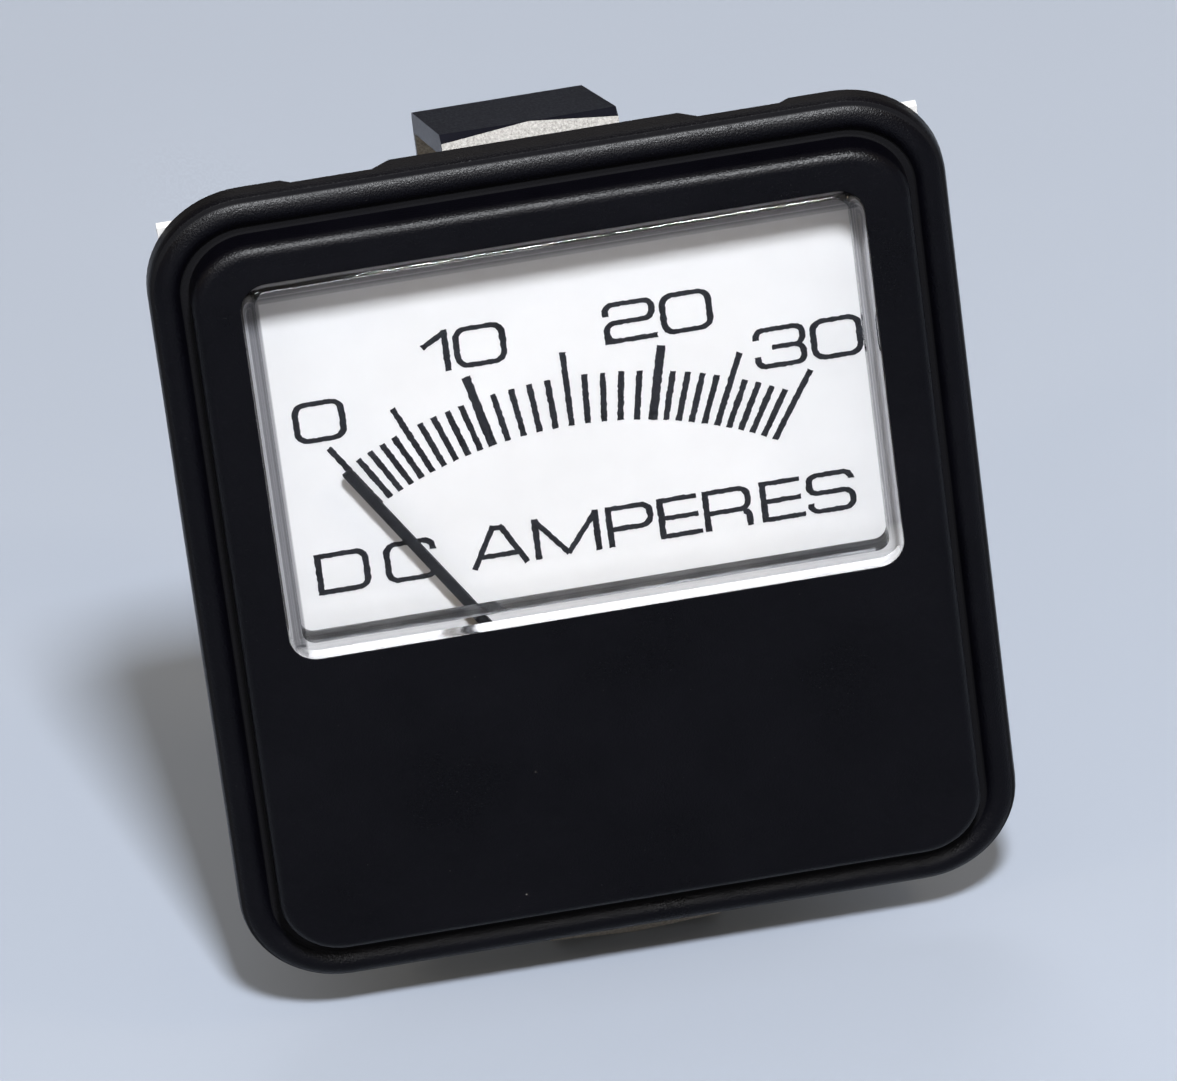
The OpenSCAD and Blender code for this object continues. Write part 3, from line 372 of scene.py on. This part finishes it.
def strap_metal():
    """Aluminium strip with bright sheared ends. The rolled faces are painted dark bluish, a painted
    reflection of shaded surroundings; the slit edges are streaked metal whose dark grey is partly painted
    shade.
    """
    made = Finish("strap_aluminium", Specular_IOR_Level=0.03)
    slit = made.facing(ALONG_X)
    end = made.math("MULTIPLY", made.facing(FORWARD, 0.62, 0.74, both_ways=False),
                    made.math("SUBTRACT", 1.0, slit))
    rolled = made.noise(0.16, detail=4.0, stretch=(1.0, 0.08, 0.08))
    streak = made.noise(0.3, detail=5.0, rough=0.7, stretch=(1, 0.35, 0.8), shift=4.0)
    torn = made.noise(0.17, detail=4.0, rough=0.7, shift=9.0)
    cloud = made.noise(3.0, detail=4.0, shift=6.0)
    # painted reflection: the rolled faces' dark bluish colour stands in for a reflection of shaded
    # surroundings
    face = made.mix(made.ramp(cloud, 0.3, 0.7), (0.004, 0.0044, 0.0085), (0.0065, 0.007, 0.0125))
    # the slit edges' streaks are the metal's own; their dark grey is partly painted shade
    edge = made.mix(made.ramp(streak, 0.35, 0.65), (0.01, 0.01, 0.016), (0.085, 0.085, 0.1))
    cut = made.mix(made.ramp(torn, 0.3, 0.7), (0.26, 0.25, 0.24), (0.66, 0.65, 0.63))
    made.colour(made.mix(end, made.mix(slit, face, edge), cut))
    made.feed(made.shader.inputs["Metallic"], slit)
    rough = made.blend(slit, made.ramp(rolled, 0.3, 0.7, 0.6, 0.75), made.ramp(streak, 0.3, 0.7, 0.38, 0.6))
    made.rough(made.blend(end, rough, made.ramp(torn, 0.3, 0.7, 0.66, 0.82)))
    made.relief(made.math("MULTIPLY", rolled, made.math("SUBTRACT", 1.0, end)), 0.004)
    made.relief(made.math("MULTIPLY", streak, slit), 0.02)
    made.relief(made.math("MULTIPLY", torn, end), 0.045)
    return made.material


def make_finishes():
    groove_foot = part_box("bezel")[0].y / MM + GROOVE_DEPTH
    return {
        "bezel_black": moulded_black("bezel_black", (0.0011, 0.001, 0.0022), 0.37, 0.8, dull_at=groove_foot),
        "case_black": moulded_black("case_black", (0.007, 0.007, 0.008), 0.36, 0.3, grain=0.3),
        "window_clear": clear_plastic(),
        "dial_white": white_enamel(),
        "ink_black": printed_ink(),
        "pointer_black": matt_paint(),
        "strap_aluminium": strap_metal(),
        "plated_steel": metal("plated_steel", (0.52, 0.52, 0.53), (0.68, 0.68, 0.67), 0.28,
                              lines=(1, 0.25, 1), stain=(0.36, 0.34, 0.31)),
        "blackened_steel": metal("blackened_steel", (0.05, 0.05, 0.055), (0.11, 0.11, 0.115), 0.4,
                                 stain=(0.12, 0.09, 0.07)),
        "brass": metal("brass", (0.62, 0.43, 0.17), (0.80, 0.60, 0.28), 0.3, lines=(1, 0.2, 1),
                       stain=(0.36, 0.24, 0.11)),
        "copper": metal("copper", (0.66, 0.32, 0.2), (0.82, 0.44, 0.3), 0.36, lines=(0.15, 1, 1),
                        stain=(0.3, 0.14, 0.09)),
        "soft_iron": metal("soft_iron", (0.25, 0.25, 0.26), (0.4, 0.4, 0.41), 0.45,
                           stain=(0.2, 0.13, 0.09)),
        "magnet_alloy": metal("magnet_alloy", (0.13, 0.13, 0.135), (0.22, 0.22, 0.225), 0.55,
                              line_size=0.5, depth=0.03, stain=(0.16, 0.12, 0.1)),
    }


def dress_frame(finishes):
    for part in frame["record"]["subparts"]:
        mesh = NODES[part["node"]].data
        mesh.materials.clear()
        mesh.materials.append(finishes[part["material_slot"]])


# ---- printed ink with slightly ragged edges ----

INK_STEP = 0.1 * MM                     # spacing of the points along the ragged edge
INK_WOBBLE = 0.095 * MM                 # how far full-strength noise would move a point
INK_WAVES = (0.42 * MM, 0.19 * MM)      # sizes of the coarse and the fine waves of the edge
INK_SPREAD = 0.02 * MM                  # how far the ink has crept past its outline
INK_SEED = 7                            # without a seed, mathutils' noise differs from run to run
INK_NODES = ("scale_marks", "scale_numbers", "unit_legend")
INK_WELD = 0.0005 * MM                  # corners of the print closer than this are one
FACES_FRONT = -0.9                      # a face whose normal's Y is below this is on the front


def on_front(face):
    return face.normal.y < FACES_FRONT


def front_loops(mesh):
    """The outlines of a flat print's front face, as closed lists of points, seen along +Y.

    The faces are taken in the mesh's own order, so that the lists are the same in each run.
    """
    work = bmesh.new()
    work.from_mesh(mesh)
    bmesh.ops.remove_doubles(work, verts=work.verts, dist=INK_WELD)
    onward = {}
    for face in filter(on_front, work.faces):
        for loop in face.loops:
            if not any(on_front(f) for f in loop.edge.link_faces if f != face):
                onward[loop.vert] = loop.link_loop_next.vert
    loops = []
    while onward:
        start = vert = next(iter(onward))
        points = []
        while vert in onward:
            points.append(vert.co.copy())
            vert = onward.pop(vert)
        if vert is start:
            loops.append(points)
    work.free()
    return loops


def ragged(points):
    """The closed outline resampled and laid flat, with each point moved a little by noise."""
    moved = []
    for a, b in zip(points, points[1:] + points[:1]):
        steps = max(1, round((b - a).length / INK_STEP))
        for i in range(steps):
            p = a.lerp(b, i / steps)
            coarse, fine = (noise.noise_vector(p / size) for size in INK_WAVES)
            p += (coarse * 0.5 + fine * 0.5) * INK_WOBBLE
            moved.append((p.x, p.z, 0.0))
    return moved


def print_ink(node, material):
    low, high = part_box(node)
    curve = bpy.data.curves.new(node + "_ragged", "CURVE")
    curve.dimensions = "2D"
    curve.fill_mode = "BOTH"
    curve.extrude = (high.y - low.y) / 2
    curve.offset = INK_SPREAD
    for outline in front_loops(NODES[node].data):
        points = ragged(outline)
        spline = curve.splines.new("POLY")
        spline.points.add(len(points) - 1)
        for place, p in zip(spline.points, points):
            place.co = (*p, 1.0)
        spline.use_cyclic_u = True
    flat = add_object(node + "_curve", curve)
    mesh = bpy.data.meshes.new_from_object(flat.evaluated_get(bpy.context.evaluated_depsgraph_get()))
    bpy.data.objects.remove(flat)
    # the curve lies in its own XY plane: stand it up in XZ, at the print's depth
    middle = (high.y + low.y) / 2
    mesh.transform(Matrix(((1, 0, 0, 0), (0, 0, -1, middle), (0, 1, 0, 0), (0, 0, 0, 1))))
    mesh.materials.clear()
    mesh.materials.append(material)
    piece = add_object(node + "_ink", mesh)
    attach(piece, METER)
    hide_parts(node)


# ---- threads on the studs' free ends, in mm ----

THREAD_PITCH = 0.8
THREAD_SIDES = 40               # rows to the turn
THREAD_ROOT = 2.19              # radius just inside the stud's surface
THREAD_CREST = 2.4
THREAD_SUNK = 0.08              # how far the section's outer corners lie below the root
THREAD_HALF = THREAD_PITCH * 0.46   # half the ridge's width at its foot
THREAD_FADE = 10                # rows over which the ridge grows at its ends
NUT_GAP = 0.45                  # from the nut to the thread's start
END_GAP = 0.25                  # from the thread's end to the stud's

# the ridge's section: share of its height, depth below the root, share of its half width
THREAD_SECTION = ((0, THREAD_SUNK, -1), (0, 0, -0.9), (1, 0, -0.14),
                  (1, 0, 0.14), (0, 0, 0.9), (0, THREAD_SUNK, 1))


def thread(name, centre, y0, y1, material):
    """A helical ridge round an axis along Y, from y0 to y1, with tapered ends."""
    turns = (y1 - y0) / THREAD_PITCH - 1
    count = int(turns * THREAD_SIDES)
    work = bmesh.new()
    rows = []
    for i in range(count + 1):
        angle = 2 * math.pi * i / THREAD_SIDES
        y = y0 + THREAD_HALF + THREAD_PITCH * i / THREAD_SIDES
        height = (THREAD_CREST - THREAD_ROOT) * min(1.0, i / THREAD_FADE, (count - i) / THREAD_FADE)
        row = []
        for rise, sunk, along in THREAD_SECTION:
            r = THREAD_ROOT + height * rise - sunk
            row.append(work.verts.new(Vector((centre[0] + r * math.cos(angle), y + along * THREAD_HALF,
                                              centre[1] + r * math.sin(angle))) * MM))
        rows.append(row)
    for a, b in zip(rows, rows[1:]):
        for j in range(len(a)):
            k = (j + 1) % len(a)
            work.faces.new((a[j], a[k], b[k], b[j]))
    for row in (rows[0][::-1], rows[-1]):
        work.faces.new(row)
    bmesh.ops.recalc_face_normals(work, faces=work.faces)
    mesh = bpy.data.meshes.new(name)
    work.to_mesh(mesh)
    work.free()
    mesh.materials.append(material)
    mesh.shade_smooth()
    piece = add_object(name, mesh)
    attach(piece, METER)


def thread_studs(finishes):
    for stud, nut, slot in (("terminal_stud_left", "wire_nut_left", "brass"),
                            ("terminal_stud_right", "wire_nut_right", "brass"),
                            ("bracket_stud", "bracket_nut", "plated_steel")):
        low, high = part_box(nut)
        centre = ((low.x + high.x) / 2 / MM, (low.z + high.z) / 2 / MM)
        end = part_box(stud)[1].y / MM
        thread(stud + "_thread", centre, high.y / MM + NUT_GAP, end - END_GAP, finishes[slot])


# ---- floor, light and surroundings ----

FLOOR_COLOUR = (0.40, 0.445, 0.53)      # as the camera, gloss and glass see it
FLOOR_BOUNCE = (0.15, 0.15, 0.16)       # as it lights the object
FLOOR_HALF = 6.0                        # in metres
FLOOR_GAP = 0.05 * MM                   # below the part
WORLD_COLOUR = (1.0, 0.91, 0.77)
WORLD_STRENGTH = 0.32


def make_floor():
    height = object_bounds()[0][2] - FLOOR_GAP
    corners = ((-1, -1), (1, -1), (1, 1), (-1, 1))
    mesh = bpy.data.meshes.new("floor")
    mesh.from_pydata([(x * FLOOR_HALF, y * FLOOR_HALF, height) for x, y in corners], [], [(0, 1, 2, 3)])
    made = Finish("floor", Specular_IOR_Level=0.03)
    cloud = made.noise(60.0, detail=3.0)
    seen = made.mix(made.ramp(cloud, 0.3, 0.7), [c * 0.98 for c in FLOOR_COLOUR], FLOOR_COLOUR)
    rays = made.node("LightPath")
    direct = made.math("ADD", rays.outputs["Is Camera Ray"],
                       made.math("ADD", rays.outputs["Is Glossy Ray"], rays.outputs["Is Transmission Ray"]))
    made.colour(made.mix(made.math("MINIMUM", direct, 1.0), FLOOR_BOUNCE, seen))
    made.rough(made.ramp(cloud, 0.3, 0.7, 0.75, 0.85))
    mesh.materials.append(made.material)
    floor = add_object("floor", mesh)


def make_world():
    world = bpy.data.worlds.new("world")
    world.use_nodes = True
    background = next(n for n in world.node_tree.nodes if n.type == "BACKGROUND")
    background.inputs["Color"].default_value = (*WORLD_COLOUR, 1.0)
    background.inputs["Strength"].default_value = WORLD_STRENGTH
    bpy.context.scene.world = world


def softbox(name, azimuth, elevation, size, power, colour, distance=1.0, gloss_only=False):
    """An area lamp aimed at the origin. Azimuth is to the viewer's right of the face's normal, in degrees.

    A lamp that is gloss_only shows in highlights and lights no matt surface.
    """
    a, e = math.radians(azimuth), math.radians(elevation)
    place = Vector((math.sin(a) * math.cos(e), -math.cos(a) * math.cos(e), math.sin(e))) * distance
    data = bpy.data.lights.new(name, "AREA")
    data.shape = "RECTANGLE"
    data.size, data.size_y = size
    data.energy = power
    data.color = colour
    lamp = add_object(name, data)
    lamp.location = place
    lamp.rotation_euler = (-place).to_track_quat("-Z", "Y").to_euler()
    lamp.visible_diffuse = not gloss_only


def make_lights():
    softbox("key", 7, 52, (0.11, 0.11), 13.4, (0.94, 0.965, 1.0))
    softbox("sheen_front", -6, 14, (0.3, 0.2), 6.0, (0.96, 0.96, 1.0), gloss_only=True)
    softbox("sheen_key", 7, 52, (0.11, 0.11), 34.0, (0.95, 0.97, 1.0), gloss_only=True)
    softbox("sheen_left", -40, 46, (0.2, 0.2), 9.0, (0.95, 0.97, 1.0), gloss_only=True)
    softbox("warm_right", 62, 40, (0.12, 0.12), 0.7, (1.0, 0.78, 0.5), distance=0.9)
    softbox("warm_left", -66, 24, (0.12, 0.12), 0.6, (1.0, 0.78, 0.5), distance=0.9)
    softbox("back", 170, 50, (0.5, 0.4), 1.6, (0.98, 0.98, 1.0))


make_camera()
finishes = make_finishes()
dress_frame(finishes)
noise.seed_set(INK_SEED)
for ink_node in INK_NODES:
    print_ink(ink_node, finishes["ink_black"])
thread_studs(finishes)
make_floor()
make_world()
make_lights()
bpy.context.scene.view_settings.view_transform = "Standard"
